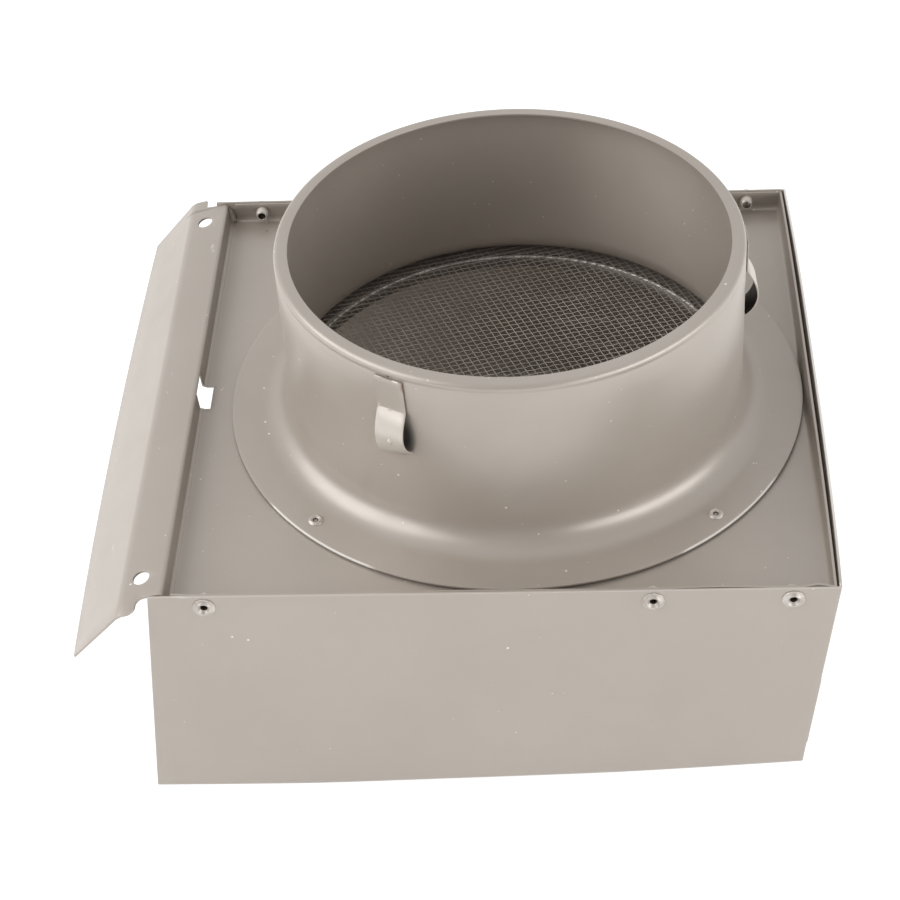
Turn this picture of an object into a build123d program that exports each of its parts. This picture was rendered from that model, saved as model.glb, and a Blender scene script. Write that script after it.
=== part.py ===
import os
from math import cos, radians, sin, sqrt, tan

from build123d import *

# Wall vent cap for a round 150 mm duct, lying on its face as it is packed.
# Millimetres. The origin is where the spigot axis meets the wall plane.
# +Z runs along the spigot into the wall, +X is up in use, Y runs along the outlet.

os.makedirs("parts", exist_ok=True)

# Sheet metal and fits
hood_sheet = 0.7
pan_sheet = 0.7
spigot_sheet = 0.7
seat_gap = 0.1
fold_radius = 1.0

# Spigot, spun from one disc
spigot_od = 144.0
spigot_rise = 54.6
rim_lip = 4.4
rim_radius = 1.8
root_fillet = 9.3
flange_edge_droop = 0.2
flange_edge_width = 2.5

# Woven screen, held between the spigot flange and the plate
screen_thickness = 0.7
screen_lap = 10.0
screen_band = 9.0
screen_turn = 28.0
screen_pitch = 12.4
screen_bar = 2.6

# Base pan
pan_recess = 7.4
pan_rim_step = 0.3
pan_side_margin = 5.6
pan_top_margin = 0.4
pan_outlet_margin = 10.9
duct_hole_step = 0.3
duct_lip_depth = 3.5
duct_lip_radius = 0.8
riser_top_step = 0.1
mount_slope = 14.0
mount_flange_reach = 13.0
mount_flange_overhang = 4.0
mount_notch_gap = 1.0
mount_notch_width = 8.0
notch_corner_radius = 2.0
lip_slope = 48.5
lip_reach = 14.8
lip_end_taper = 1.0
lip_bow = 2.3
lip_fold_radius = 3.0
drain_slot_length = 11.4
drain_slot_reach = 3.7
drain_slot_radius = 1.0
screw_hole_d = 5.6
screw_hole_inset = 14.2
screw_hole_along = 7.5
mitre_slit = 0.4

# Hood
hood_outlet_overhang = 4.1
hood_depth = 84.5
hood_slope = 5.4
face_crease_1_x = -60.0
face_crease_2_x = 30.0
face_rise_2 = 3.6
face_rise_top = 8.2
crease_radius = 300.0
hood_fold_radius = 1.2

# Leaf springs
spring_count = 3
spring_first_angle = 2.0
spring_strip = 0.5
spring_width = 9.4
spring_pad_top = 51.5
spring_pad_length = 11.0
spring_bow_length = 16.5
spring_bow_height = 3.9
spring_tip_gap = 0.15
spring_crest_share = 0.42
spring_foot_bend = 3.0
spring_crest_bend = 5.0
weld_dimple_d = 1.6
weld_dimple_depth = 0.15

# Blind rivets
hood_rivet_shank = 3.2
hood_rivet_head = 6.6
hood_rivet_tail = 3.2
hood_rivet_bore = 1.9
hood_rivet_from_riser = 12.0
hood_rivet_from_top = 12.1
hood_rivet_pair = 40.2
hood_rivet_below = 4.2
flange_rivet_shank = 2.4
flange_rivet_head = 4.8
flange_rivet_tail = 3.2
flange_rivet_bore = 1.2
flange_rivet_count = 4
flange_rivet_first_angle = 45.0
flange_rivet_from_screen = 3.5
flange_rivet_inset = 5.9
rivet_hole_gap = 0.1
mandrel_gap = 0.05
rivet_tail_swell = 0.66
rivet_pocket_swell = 0.7

# Levels and circles that the pieces share
plate_top = -pan_recess
plate_under = plate_top - pan_sheet
flange_top = plate_top + screen_thickness + spigot_sheet
spigot_r = spigot_od / 2
duct_hole_r = spigot_r + duct_hole_step
screen_r = spigot_r + screen_lap
flange_rivet_r = screen_r + flange_rivet_from_screen
spigot_flange_r = flange_rivet_r + flange_rivet_inset

# Lines of the pan and the hood, set out from the spigot's flange
pan_inside_y = spigot_flange_r + pan_side_margin
pan_outside_y = pan_inside_y + pan_sheet
wall_inside_y = pan_outside_y + seat_gap
half_length = wall_inside_y + hood_sheet
mount_end_y = half_length + mount_flange_overhang
outlet_edge_x = -(spigot_flange_r + pan_outlet_margin)
pan_flange_x = outlet_edge_x + 2 * pan_sheet
pan_top_x = spigot_flange_r + pan_top_margin + pan_sheet
slope_run = tan(radians(hood_slope))
hood_top_x = pan_top_x + seat_gap + hood_sheet / cos(radians(hood_slope)) - plate_under * slope_run
hood_outlet_x = outlet_edge_x - hood_outlet_overhang
riser_top = -riser_top_step
fold_x = outlet_edge_x - mount_flange_reach
fold_z = riser_top - mount_flange_reach * tan(radians(mount_slope))
lip_x = fold_x - lip_reach
last_rivet_x = pan_top_x - hood_rivet_from_top
lost_mandrel_x = outlet_edge_x + hood_rivet_from_riser
hood_rivet_xs = (lost_mandrel_x, last_rivet_x - hood_rivet_pair, last_rivet_x)


def sheet_section(points, radii, sheet):
    """Face of a bent sheet that lies to the left of a line through the points."""
    with BuildSketch() as section:
        with BuildLine():
            FilletPolyline(*points, radius=radii)
            offset(amount=sheet, side=Side.LEFT, closed=True)
        make_face()
    return section.sketch


def facing(azimuth):
    """Upright plane through the spigot axis whose X runs outward at an azimuth."""
    turn = radians(azimuth)
    return Plane(origin=(0, 0, 0), x_dir=(cos(turn), sin(turn), 0), z_dir=(sin(turn), -cos(turn), 0))


def side_rivet_planes(side, xs):
    """Planes on a side wall's outer face, one at each rivet, facing out of the hood."""
    return [
        Plane(origin=(x, side * half_length, -hood_rivet_below), x_dir=(1, 0, 0), z_dir=(0, side, 0))
        for x in xs
    ]


def blind_rivet(head, shank, bore, grip, tail):
    """Domed blind rivet along Z, seated at Z 0, with its tail pulled up behind the sheets."""
    head_height = head / 6
    tail_r = shank * rivet_tail_swell
    pocket_r = bore * rivet_pocket_swell
    with BuildPart() as rivet:
        with BuildSketch(Plane.XZ):
            with BuildLine():
                Polyline(
                    (bore / 2, head_height * 0.8),
                    (bore / 2, -grip - tail * 0.6),
                    (pocket_r, -grip - tail * 0.65),
                    (pocket_r, -grip - tail),
                    (tail_r * 0.85, -grip - tail),
                    (tail_r, -grip - tail * 0.7),
                    (tail_r, -grip),
                    (shank / 2, -grip),
                    (shank / 2, 0),
                    (head / 2, 0),
                    (head / 2, head_height * 0.25),
                )
                ThreePointArc(
                    (head / 2, head_height * 0.25),
                    (head * 0.36, head_height * 0.8),
                    (bore / 2 + 0.4, head_height),
                )
                Line((bore / 2 + 0.4, head_height), (bore / 2, head_height * 0.8))
            make_face()
        revolve(axis=Axis.Z)
    return rivet.part


# Base pan, folded from one sheet: the tray with its three upturned flanges
with BuildPart() as tray:
    tray_middle_x = (pan_top_x + pan_flange_x) / 2
    tray_reach_x = pan_top_x - pan_flange_x
    with BuildSketch(Plane.XY.offset(plate_under)):
        with Locations((tray_middle_x, 0)):
            Rectangle(tray_reach_x, 2 * pan_outside_y)
    extrude(amount=-plate_under - pan_rim_step)
    outside_folds = tray.edges().group_by(Axis.Z)[0].sort_by(Axis.X)[1:]
    fillet(outside_folds, radius=fold_radius + pan_sheet)
    with BuildSketch(Plane.XY.offset(plate_top)):
        with Locations((tray_middle_x - pan_sheet / 2, 0)):
            Rectangle(tray_reach_x - pan_sheet, 2 * pan_inside_y)
    extrude(amount=pan_recess, mode=Mode.SUBTRACT)
    floor_edges = tray.edges().filter_by_position(Axis.Z, plate_top - 0.01, plate_top + 0.01)
    inside_folds = floor_edges.filter_by(lambda edge: edge.length > pan_recess).sort_by(Axis.X)[1:]
    fillet(inside_folds, radius=fold_radius)
    # Slits where the flanges meet at the two upper corners
    with BuildSketch(Plane.XY):
        for side in (-1, 1):
            with Locations(Location((pan_top_x, side * pan_outside_y), side * 45)):
                Rectangle(4 * fold_radius, mitre_slit)
    extrude(amount=plate_top, mode=Mode.SUBTRACT)

# Base pan: the riser, the sloped mounting flange and the lip, as one long folded strip
lip_run = lip_reach + lip_bow + fold_radius
strip_start_x = outlet_edge_x + 4 * fold_radius
lip_end_y = mount_end_y - lip_end_taper
notch_y = wall_inside_y - mount_notch_gap
notch_x = outlet_edge_x - mount_notch_width
with BuildPart() as base_pan:
    strip_path = (
        (strip_start_x, plate_top),
        (outlet_edge_x, plate_top),
        (outlet_edge_x, riser_top),
        (fold_x, fold_z),
        (fold_x - lip_run, fold_z - lip_run * tan(radians(lip_slope))),
    )
    strip_radii = (fold_radius, fold_radius + pan_sheet, lip_fold_radius)
    with BuildSketch(Plane.XZ):
        add(sheet_section(strip_path, strip_radii, pan_sheet))
    extrude(amount=mount_end_y, both=True)

    # Its outline from above: notches for the hood's side walls and a bowed free edge
    with BuildSketch(Plane.XY) as strip_outline:
        with BuildLine():
            ThreePointArc((lip_x, -lip_end_y), (lip_x - lip_bow, 0), (lip_x, lip_end_y))
            for side in (-1, 1):
                Polyline(
                    (lip_x, side * lip_end_y),
                    (fold_x, side * mount_end_y),
                    (notch_x, side * mount_end_y),
                    (notch_x, side * notch_y),
                    (strip_start_x, side * notch_y),
                    (strip_start_x, 0),
                )
        make_face()
        notch_corners = strip_outline.vertices().filter_by_position(Axis.X, notch_x - 0.1, notch_x + 0.1)
        fillet(notch_corners, radius=notch_corner_radius)
    extrude(amount=hood_depth, both=True, mode=Mode.INTERSECT)
    add(tray.part)

    # Duct hole with its turned-down lip
    lip_outer_r = duct_hole_r + duct_lip_radius + 2 * pan_sheet
    with BuildSketch(Plane.XY.offset(plate_top)):
        Circle(lip_outer_r)
    extrude(amount=-pan_sheet, mode=Mode.SUBTRACT)
    with BuildSketch(Plane.XZ):
        duct_lip_path = (
            (lip_outer_r, plate_top),
            (duct_hole_r, plate_top),
            (duct_hole_r, plate_under - duct_lip_depth),
        )
        add(sheet_section(duct_lip_path, duct_lip_radius + pan_sheet, pan_sheet))
    revolve(axis=Axis.Z)

    # Drain slot across the foot of the riser
    slot_end_x = outlet_edge_x + drain_slot_reach
    slot_reach = drain_slot_reach + 2 * pan_sheet
    with BuildSketch(Plane.XY.offset(plate_under)) as drain_slot:
        with Locations((slot_end_x - slot_reach / 2, 0)):
            Rectangle(slot_reach, drain_slot_length)
        fillet(drain_slot.vertices().group_by(Axis.X)[-1], radius=drain_slot_radius)
    extrude(amount=riser_top - plate_under - fold_radius, mode=Mode.SUBTRACT)

    # Screw holes, square to the sloped flange, and the rivet holes
    screw_hole_y = mount_end_y - screw_hole_inset
    screw_hole_x = outlet_edge_x - screw_hole_along
    screw_hole_z = riser_top - screw_hole_along * tan(radians(mount_slope))
    slope_normal = (-sin(radians(mount_slope)), 0, cos(radians(mount_slope)))
    mount_plane = Plane(origin=(screw_hole_x, 0, screw_hole_z), x_dir=(0, 1, 0), z_dir=slope_normal)
    with BuildSketch(mount_plane):
        with Locations((-screw_hole_y, 0), (screw_hole_y, 0)):
            Circle(screw_hole_d / 2)
    extrude(amount=2 * pan_sheet, both=True, mode=Mode.SUBTRACT)
    with BuildSketch(Plane.XY.offset(plate_top)):
        with PolarLocations(flange_rivet_r, flange_rivet_count, flange_rivet_first_angle):
            Circle(flange_rivet_shank / 2 + rivet_hole_gap)
    extrude(amount=-pan_sheet, mode=Mode.SUBTRACT)
    for side in (-1, 1):
        for plane in side_rivet_planes(side, hood_rivet_xs):
            with BuildSketch(plane):
                Circle(hood_rivet_shank / 2 + rivet_hole_gap)
            extrude(amount=-3 * (hood_sheet + pan_sheet), mode=Mode.SUBTRACT)
base_pan.part.label = "base_pan"

# Spigot: base flange, root fillet, wall and inward rim, spun in one piece
with BuildPart() as spigot:
    spigot_path = (
        (spigot_flange_r, flange_top - flange_edge_droop),
        (spigot_flange_r - flange_edge_width, flange_top),
        (spigot_r, flange_top),
        (spigot_r, spigot_rise),
        (spigot_r - rim_lip, spigot_rise),
    )
    with BuildSketch(Plane.XZ):
        add(sheet_section(spigot_path, (fold_radius, root_fillet, rim_radius), spigot_sheet))
    revolve(axis=Axis.Z)
    with BuildSketch(Plane.XY.offset(flange_top)):
        with PolarLocations(flange_rivet_r, flange_rivet_count, flange_rivet_first_angle):
            Circle(flange_rivet_shank / 2 + rivet_hole_gap)
    extrude(amount=-spigot_sheet, mode=Mode.SUBTRACT)
spigot.part.label = "spigot"

# Screen: a clamped band around a coarse weave, wires one way in slots and ridges the other way
with BuildPart() as screen:
    open_r = screen_r - screen_band
    gap_half_diagonal = (screen_pitch - screen_bar) / sqrt(2)
    weave_count = int(2 * screen_r / screen_pitch)
    with BuildSketch(Plane.XY.offset(plate_top)):
        Circle(screen_r)
        with Locations(Location((0, 0), screen_turn)):
            centres = [
                place
                for place in GridLocations(screen_pitch, screen_pitch, weave_count, weave_count)
                if place.position.length < open_r - gap_half_diagonal
            ]
            with Locations(centres):
                Rectangle(screen_pitch - screen_bar, screen_pitch - screen_bar, mode=Mode.SUBTRACT)
    extrude(amount=screen_thickness / 2)
    with BuildSketch(Plane.XY.offset(plate_top + screen_thickness / 2)):
        Circle(screen_r)
        Circle(open_r, mode=Mode.SUBTRACT)
        with Locations(Location((0, 0), screen_turn)):
            with GridLocations(screen_pitch, screen_pitch, weave_count, 1):
                with Locations((screen_pitch / 2, 0)):
                    Rectangle(screen_bar, 2 * screen_r)
        Circle(screen_r, mode=Mode.INTERSECT)
    extrude(amount=screen_thickness / 2)
screen.part.label = "screen"

# Hood: side walls, top wall and a gently bowed face panel, folded from one sheet
face_z = -hood_depth
crease_2_z = face_z + face_rise_2
top_foot_z = face_z + face_rise_top


def hood_form(run_out, inset, radius):
    """Solid inside the hood's outline, run out past its open sides, drawn in and rounded at its folds."""
    side_profile = (
        (hood_outlet_x - run_out, run_out),
        (hood_top_x + run_out * slope_run, run_out),
        (hood_top_x + top_foot_z * slope_run, top_foot_z),
        (face_crease_2_x, crease_2_z),
        (face_crease_1_x, face_z),
        (hood_outlet_x - run_out + face_z * slope_run, face_z),
    )
    with BuildPart() as form:
        with BuildSketch(Plane.XZ) as side_view:
            with BuildLine():
                Polyline(*side_profile, close=True)
            make_face()
            corners = side_view.vertices()
            creases = corners.filter_by_position(Axis.X, face_crease_1_x - 1, face_crease_2_x + 1)
            fillet(creases, radius=crease_radius)
            if inset:
                offset(amount=-inset)
        extrude(amount=half_length - inset, both=True)
        panel_edges = form.edges().filter_by(
            lambda edge: abs(edge.center().Y) > 1 and edge.center().Z < top_foot_z + 0.5
        )
        top_fold = form.edges().filter_by(Axis.Y).sort_by(Axis.X)[-2:].sort_by(Axis.Z)[:1]
        fillet(panel_edges + top_fold, radius=radius)
    return form.part


hood_outside = hood_form(0, 0, hood_fold_radius + hood_sheet)
hood_inside = hood_form(4 * hood_sheet, hood_sheet, hood_fold_radius)
with BuildPart() as hood:
    add(hood_outside)
    add(hood_inside, mode=Mode.SUBTRACT)
    for side in (-1, 1):
        for plane in side_rivet_planes(side, hood_rivet_xs):
            with BuildSketch(plane):
                Circle(hood_rivet_shank / 2 + rivet_hole_gap)
            extrude(amount=-2 * hood_sheet, mode=Mode.SUBTRACT)
hood.part.label = "hood"

# Leaf springs: a flat pad under the rim and a bow that grips the duct
bow_top = spring_pad_top - spring_pad_length
bow_foot = bow_top - spring_bow_length
crest_z = bow_top - spring_bow_length * spring_crest_share
spring_seat = spigot_r + spring_tip_gap
spring_path = (
    (spring_seat, spring_pad_top),
    (spring_seat, bow_top),
    (spring_seat + spring_bow_height, crest_z),
    (spring_seat, bow_foot),
)
leaf_springs = []
for number in range(spring_count):
    azimuth = spring_first_angle + 360 / spring_count * number
    with BuildPart() as leaf_spring:
        with BuildSketch(facing(azimuth)):
            add(sheet_section(spring_path, (spring_foot_bend, spring_crest_bend), spring_strip))
        extrude(amount=spring_width / 2, both=True)
        pad_middle = (spring_seat + spring_strip, (spring_pad_top + bow_top) / 2, 0)
        pad_face = Plane(facing(azimuth).from_local_coords(pad_middle), z_dir=facing(azimuth).x_dir)
        with BuildSketch(pad_face):
            Circle(weld_dimple_d / 2)
        extrude(amount=-weld_dimple_depth, mode=Mode.SUBTRACT)
    leaf_spring.part.label = f"leaf_spring_{number + 1}"
    leaf_springs.append(leaf_spring.part)

# Rivets
side_grip = hood_sheet + seat_gap + pan_sheet
hood_rivet = blind_rivet(hood_rivet_head, hood_rivet_shank, hood_rivet_bore, side_grip, hood_rivet_tail)
hood_rivet_rows = {}
for side, row in ((-1, "front"), (1, "back")):
    with BuildPart() as rivet_row:
        with Locations(*side_rivet_planes(side, hood_rivet_xs)):
            add(hood_rivet)
    rivet_row.part.label = f"hood_rivets_{row}"
    hood_rivet_rows[row] = rivet_row.part

with BuildPart() as mandrel:
    mandrel_r = hood_rivet_bore * rivet_pocket_swell - mandrel_gap
    mandrel_top = -side_grip - hood_rivet_tail * 0.65
    mandrel_end = -side_grip - hood_rivet_tail
    with BuildSketch(Plane.XZ):
        with BuildLine():
            Polyline((0, mandrel_end - mandrel_r / 2), (0, mandrel_top), (mandrel_r, mandrel_top))
            Line((mandrel_r, mandrel_top), (mandrel_r, mandrel_end))
            RadiusArc((mandrel_r, mandrel_end), (0, mandrel_end - mandrel_r / 2), mandrel_r * 1.25)
        make_face()
    revolve(axis=Axis.Z)
with BuildPart() as rivet_mandrels:
    with Locations(*side_rivet_planes(-1, hood_rivet_xs)):
        add(mandrel.part)
    kept_xs = [x for x in hood_rivet_xs if x != lost_mandrel_x]
    with Locations(*side_rivet_planes(1, kept_xs)):
        add(mandrel.part)
rivet_mandrels.part.label = "rivet_mandrels"

with BuildPart() as spigot_rivets:
    flange_grip = spigot_sheet + screen_thickness + pan_sheet
    with PolarLocations(flange_rivet_r, flange_rivet_count, flange_rivet_first_angle):
        with Locations((0, 0, flange_top)):
            add(
                blind_rivet(
                    flange_rivet_head, flange_rivet_shank, flange_rivet_bore, flange_grip, flange_rivet_tail
                )
            )
spigot_rivets.part.label = "spigot_rivets"

pieces = [base_pan.part, spigot.part, screen.part, hood.part, *leaf_springs]
pieces += [*hood_rivet_rows.values(), rivet_mandrels.part, spigot_rivets.part]
for piece in pieces:
    export_step(piece, f"parts/{piece.label}.step")
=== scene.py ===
from math import atan2, cos, degrees, hypot, pi, radians, sin, sqrt, tan

import bmesh
import bpy
from mathutils import Matrix, Vector, noise


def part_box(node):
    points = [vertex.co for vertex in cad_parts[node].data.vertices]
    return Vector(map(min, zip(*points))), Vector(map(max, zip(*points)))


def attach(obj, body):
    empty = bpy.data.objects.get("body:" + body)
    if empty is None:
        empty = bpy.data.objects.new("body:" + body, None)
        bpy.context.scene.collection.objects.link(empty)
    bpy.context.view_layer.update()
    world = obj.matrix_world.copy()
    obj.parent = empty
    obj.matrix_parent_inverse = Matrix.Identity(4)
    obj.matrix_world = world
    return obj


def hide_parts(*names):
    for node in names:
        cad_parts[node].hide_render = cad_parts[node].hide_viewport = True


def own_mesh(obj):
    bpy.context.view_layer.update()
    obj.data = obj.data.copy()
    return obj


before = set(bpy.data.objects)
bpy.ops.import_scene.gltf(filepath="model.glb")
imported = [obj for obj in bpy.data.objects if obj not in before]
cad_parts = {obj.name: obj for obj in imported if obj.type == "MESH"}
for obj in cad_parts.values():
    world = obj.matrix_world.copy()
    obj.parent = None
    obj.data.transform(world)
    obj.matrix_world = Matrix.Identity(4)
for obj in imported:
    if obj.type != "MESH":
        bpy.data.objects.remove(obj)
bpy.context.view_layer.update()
bpy.ops.object.select_all(action="DESELECT")
mm = 0.001

# Powder coat, on every sheet of the cap: a satin taupe coat with a fine orange peel, a little lighter where
# it gathers in patches, with pale specks of dust. Marks of handling and use, and painted shade and
# highlights, are laid over it.
coat_colour = (0.445, 0.394, 0.345, 1.0)
coat_shade = (0.420, 0.370, 0.322, 1.0)
speck_colour = (0.80, 0.77, 0.72, 1.0)
pale = (0.88, 0.85, 0.80, 1.0)
# Near-black: soot on the spigot and the third clip, and the painted shade in the rivets' bores.
soot_and_shade_black = (0.03, 0.025, 0.02, 1.0)
rusty = (0.24, 0.13, 0.07, 1.0)
coat_metallic = 0.25
coat_ior = 2.0
patches_per_metre = 18
dust_per_metre = 620
gloss_per_metre = 90
peel_per_metre = 1500
dents_per_metre = 60
peel_depth = 0.05 * mm
dent_depth = 0.5 * mm


def node_group(name, inputs, outputs):
    """An empty shader group with named sockets, each given as its name, kind and value."""
    group = bpy.data.node_groups.new(name, "ShaderNodeTree")
    for label, kind, value in inputs:
        socket = group.interface.new_socket(label, in_out="INPUT", socket_type=kind)
        socket.default_value = value
    for label, kind in outputs:
        group.interface.new_socket(label, in_out="OUTPUT", socket_type=kind)
    return group, group.nodes.new("NodeGroupInput"), group.nodes.new("NodeGroupOutput")


def noise_at(tree, scale, detail=2.0, rough=0.5):
    """Noise on object coordinates, with its scale in turns per metre."""
    place = tree.nodes.new("ShaderNodeTexCoord")
    pattern = tree.nodes.new("ShaderNodeTexNoise")
    pattern.inputs["Scale"].default_value = scale
    pattern.inputs["Detail"].default_value = detail
    pattern.inputs["Roughness"].default_value = rough
    tree.links.new(place.outputs["Object"], pattern.inputs["Vector"])
    return pattern.outputs["Fac"]


def ramp(tree, value, low, high, bottom=0.0, top=1.0):
    """A value taken from low and high to bottom and top, and held there."""
    band = tree.nodes.new("ShaderNodeMapRange")
    for label, number in (("From Min", low), ("From Max", high), ("To Min", bottom), ("To Max", top)):
        band.inputs[label].default_value = number
    tree.links.new(value, band.inputs["Value"])
    return band.outputs["Result"]


def mixed(tree, share, first, second):
    """One colour over another by a share. Either may be a colour or another node's output."""
    blend = tree.nodes.new("ShaderNodeMix")
    blend.data_type = "RGBA"
    tree.links.new(share, blend.inputs["Factor"])
    for colour, socket in ((first, blend.inputs["A"]), (second, blend.inputs["B"])):
        if isinstance(colour, tuple):
            socket.default_value = colour
        else:
            tree.links.new(colour, socket)
    return blend.outputs["Result"]


def bumped(tree, height, distance, strength=1.0, under=None):
    """A normal raised by a height, over another normal where one is given."""
    bump = tree.nodes.new("ShaderNodeBump")
    bump.inputs["Strength"].default_value = strength
    bump.inputs["Distance"].default_value = distance
    tree.links.new(height, bump.inputs["Height"])
    if under:
        tree.links.new(under, bump.inputs["Normal"])
    return bump.outputs["Normal"]


coat, coat_in, coat_out = node_group(
    "satin_coat",
    (("Colour", "NodeSocketColor", coat_colour), ("Shade", "NodeSocketColor", coat_shade)),
    (("Colour", "NodeSocketColor"), ("Roughness", "NodeSocketFloat"), ("Normal", "NodeSocketVector")),
)
patches = ramp(coat, noise_at(coat, patches_per_metre, 4, 0.6), 0.35, 0.65)
patched = mixed(coat, patches, coat_in.outputs["Shade"], coat_in.outputs["Colour"])
dust = ramp(coat, noise_at(coat, dust_per_metre, 1), 0.78, 0.82)
coat.links.new(mixed(coat, dust, patched, speck_colour), coat_out.inputs["Colour"])
gloss = ramp(coat, noise_at(coat, gloss_per_metre, 3), 0.3, 0.7, 0.33, 0.39)
coat.links.new(gloss, coat_out.inputs["Roughness"])
peel = bumped(coat, noise_at(coat, peel_per_metre, 2), peel_depth, 0.35)
dents = bumped(coat, noise_at(coat, dents_per_metre, 2), dent_depth, 0.10, peel)
coat.links.new(dents, coat_out.inputs["Normal"])


def material(name, roughness=0.45, metallic=0.0):
    """A new material with its shader and links, ready for its colour and finish."""
    made = bpy.data.materials.new(name)
    made.use_nodes = True
    shader = made.node_tree.nodes["Principled BSDF"]
    shader.inputs["Roughness"].default_value = roughness
    shader.inputs["Metallic"].default_value = metallic
    return made, made.node_tree, shader


def coated(name):
    """A material of the coat, for marks to be laid over."""
    made, tree, shader = material(name, metallic=coat_metallic)
    shader.inputs["IOR"].default_value = coat_ior
    layer = tree.nodes.new("ShaderNodeGroup")
    layer.node_tree = coat
    for label, socket in (("Colour", "Base Color"), ("Roughness", "Roughness"), ("Normal", "Normal")):
        tree.links.new(layer.outputs[label], shader.inputs[socket])
    return made


def patchy(name, first, second, per_metre, low, high, roughness, metallic=0.0):
    """A material that goes from one colour to another in small patches."""
    made, tree, shader = material(name, roughness, metallic)
    patches_here = ramp(tree, noise_at(tree, per_metre, 3), low, high)
    tree.links.new(mixed(tree, patches_here, first, second), shader.inputs["Base Color"])
    return made


def spots_mask(tree, spots, soft):
    """A mask of spots, each given in millimetres by its place and its half widths.
    A spot is full out to the share of its widths that soft says, and fades from there."""
    place = tree.nodes.new("ShaderNodeTexCoord")
    mask = None
    for x, y, z, wide, deep, high in spots:
        away = tree.nodes.new("ShaderNodeVectorMath")
        away.operation = "SUBTRACT"
        tree.links.new(place.outputs["Object"], away.inputs[0])
        away.inputs[1].default_value = (x * mm, y * mm, z * mm)
        share = tree.nodes.new("ShaderNodeVectorMath")
        share.operation = "DIVIDE"
        tree.links.new(away.outputs["Vector"], share.inputs[0])
        share.inputs[1].default_value = (wide * mm, deep * mm, high * mm)
        length = tree.nodes.new("ShaderNodeVectorMath")
        length.operation = "LENGTH"
        tree.links.new(share.outputs["Vector"], length.inputs[0])
        spot = ramp(tree, length.outputs["Value"], soft, 1.0, 1.0, 0.0)
        if mask is None:
            mask = spot
        else:
            larger = tree.nodes.new("ShaderNodeMath")
            larger.operation = "MAXIMUM"
            tree.links.new(mask, larger.inputs[0])
            tree.links.new(spot, larger.inputs[1])
            mask = larger.outputs["Value"]
    return mask


def less(tree, mask, other):
    """A mask without the part that another covers."""
    left = tree.nodes.new("ShaderNodeMath")
    left.operation = "SUBTRACT"
    left.use_clamp = True
    tree.links.new(mask, left.inputs[0])
    tree.links.new(other, left.inputs[1])
    return left.outputs["Value"]


def marked(made, mask, colour):
    """Lays a colour over a material's own where a mask says."""
    tree = made.node_tree
    socket = tree.nodes["Principled BSDF"].inputs["Base Color"]
    tree.links.new(mixed(tree, mask, socket.links[0].from_socket, colour), socket)


def spotted(made, spots, soft, colour):
    """Lays a colour over a material's own in spots."""
    marked(made, spots_mask(made.node_tree, spots, soft), colour)


# Base pan: the plate that carries the spigot, with upturned flanges inside the hood's walls. At the outlet
# it steps up to a sloped screw flange and a lip, all folded from one coated sheet. Small gussets close the
# riser's ends, and a short lip is turned down round the duct hole.
hood_low, hood_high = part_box("hood")
sheet = 0.7 * mm
plate_level = -7.4 * mm
pan_half = 97.0 * mm
riser_x = -102.3 * mm
riser_top = -0.1 * mm
riser_foot_x = -101.8 * mm
ledge_x = -100.6 * mm
ledge_rise = 0.3 * mm
flange_start_x = -99.8 * mm
flange_rim = -0.3 * mm
top_foot_x = 91.8 * mm
top_lean = 0.2 * mm
top_bow = 0.7 * mm
notch_x = -110.3 * mm
fold_x = -115.3 * mm
mount_angle = radians(14.0)
mount_fall = tan(mount_angle)
lip_fall = tan(radians(48.5))
lip_run = 14.8 * mm
lip_bow = 2.3 * mm
lip_spread = 0.7 * mm
front_end = -96.4 * mm
back_end = 98.3 * mm
end_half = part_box("base_pan")[1].y
fold_inside = 1.0 * mm
riser_foot_bend = 0.35 * mm
riser_bend = 1.5 * mm
lip_fold = 1.6 * mm
front_corner = 2.6 * mm
back_corner = 0.7 * mm
sheet_edge = 0.14 * mm
near = 0.1 * mm
close = 0.02 * mm


def grid(name, low, high, cells_x, cells_y, level):
    """A flat grid of faces at a level between two corners."""
    bpy.ops.mesh.primitive_grid_add(x_subdivisions=cells_x, y_subdivisions=cells_y, size=1)
    made = bpy.context.object
    made.name = name
    made.scale = (high[0] - low[0], high[1] - low[1], 1)
    made.location = ((low[0] + high[0]) / 2, (low[1] + high[1]) / 2, level)
    bpy.ops.object.transform_apply(location=True, rotation=True, scale=True)
    return made


def pick(piece, test, open_only=False):
    """Leaves selected, in edit mode, only the edges, or the open edges, whose middle passes a test."""
    bpy.ops.mesh.select_mode(type="EDGE")
    bpy.ops.mesh.select_all(action="DESELECT")
    mesh = bmesh.from_edit_mesh(piece.data)
    for edge in mesh.edges:
        middle = (edge.verts[0].co + edge.verts[1].co) / 2
        edge.select_set((edge.is_boundary or not open_only) and bool(test(middle)))
    bmesh.update_edit_mesh(piece.data)


def pick_border(piece, test):
    """Leaves selected only the open edges whose middle passes a test."""
    pick(piece, test, open_only=True)


def at(measure, level, within=close):
    """Whether a measure is at a level, but for rounding."""
    return abs(measure - level) < within


def pull(*steps):
    """Extrudes the selected edges by one step after another."""
    for step in steps:
        bpy.ops.mesh.extrude_region_move(TRANSFORM_OT_translate={"value": step})


def reshape(piece, move):
    """Moves every vertex of a piece to where a function of its place says."""
    for vertex in piece.data.vertices:
        vertex.co = move(vertex.co.copy())


def faces_up(piece, towards, test):
    """Turns all of an open sheet's faces over if those that pass a test don't look a given way."""
    looks = sum(face.normal.dot(Vector(towards)) for face in piece.data.polygons if test(face.center))
    if looks < 0:
        piece.data.flip_normals()


def add_modifier(piece, kind, **settings):
    """Adds a modifier with its settings and applies it."""
    modifier = piece.modifiers.new(kind.lower(), kind)
    for label, value in settings.items():
        setattr(modifier, label, value)
    bpy.context.view_layer.objects.active = piece
    bpy.ops.object.modifier_apply(modifier=modifier.name)


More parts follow.
